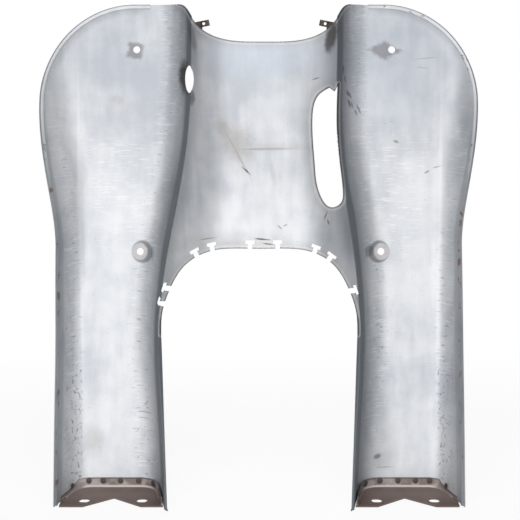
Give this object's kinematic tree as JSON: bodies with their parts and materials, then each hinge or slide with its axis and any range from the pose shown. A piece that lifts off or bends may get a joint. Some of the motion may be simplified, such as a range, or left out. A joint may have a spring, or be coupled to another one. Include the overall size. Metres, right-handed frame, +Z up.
{
  "type": "scooter leg shield",
  "caption": "Pressed sheet-steel leg shield for a scooter: leg troughs either side of a ridged saddle over an arch, with hemmed edges, slotted foot brackets and top tabs.",
  "frame": {"origin": "under the middle of the part, on the plane that the undersides of the foot brackets lie in", "axes": "+X to the rider's right, +Y forward, away from the rider, +Z up; the panel leans forward by 14 degrees"},
  "size_m": [0.518, 0.2, 0.5625],
  "materials": {
    "sheet_steel": "pressed sheet steel, bare and satin, with fine scratches, weld marks and light rust",
    "bracket_steel": "plain steel plate, brown with light rust and spot welds",
    "tab_steel": "dark scale-covered steel"
  },
  "bodies": {
    "root": {"panel": "sheet_steel", "foot_bracket_left": "bracket_steel", "foot_bracket_right": "bracket_steel", "top_tab_left": "tab_steel", "top_tab_right": "tab_steel"}
  },
  "joints": []
}
